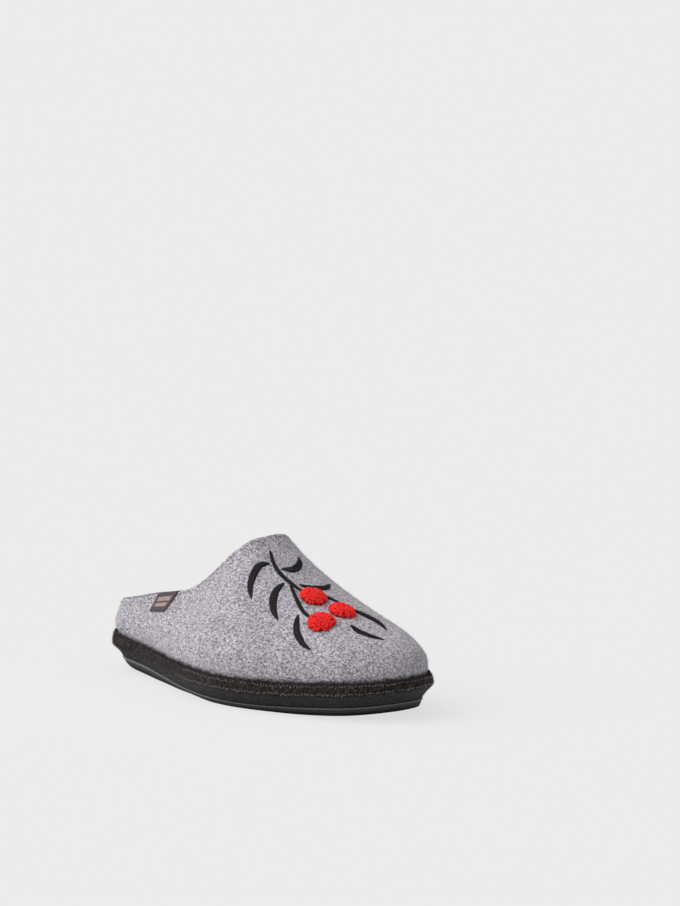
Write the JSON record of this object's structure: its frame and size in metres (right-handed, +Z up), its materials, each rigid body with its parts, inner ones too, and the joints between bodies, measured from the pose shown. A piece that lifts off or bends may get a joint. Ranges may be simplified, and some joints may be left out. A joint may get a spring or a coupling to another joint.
{
  "type": "felt slipper",
  "caption": "Right-foot wool felt mule with a low back, felt-wrapped footbed edge, thin rubber outsole, woven collar label and looped-pile berries on the vamp.",
  "frame": {"origin": "bottom centre of the whole slipper's box, on the floor", "axes": "+Z up, toe towards -Y, heel towards +Y, outer (little toe) side towards -X, inner side towards +X"},
  "size_m": [0.1112, 0.26, 0.101],
  "materials": {
    "upper_felt": "mid grey melange wool felt, boiled, matt with a soft nap",
    "band_felt": "black brushed felt, matt",
    "insole_felt": "grey pressed felt, matt",
    "outsole_rubber": "black moulded rubber, satin",
    "label_weave": "dark brown woven ribbon with a beige check",
    "berry_pile": "bright red looped yarn pile"
  },
  "bodies": {
    "root": {"upper": "upper_felt", "midsole_band": "band_felt", "insole": "insole_felt", "outsole": "outsole_rubber", "label": "label_weave", "berry_1": "berry_pile", "berry_2": "berry_pile", "berry_3": "berry_pile"}
  },
  "joints": []
}
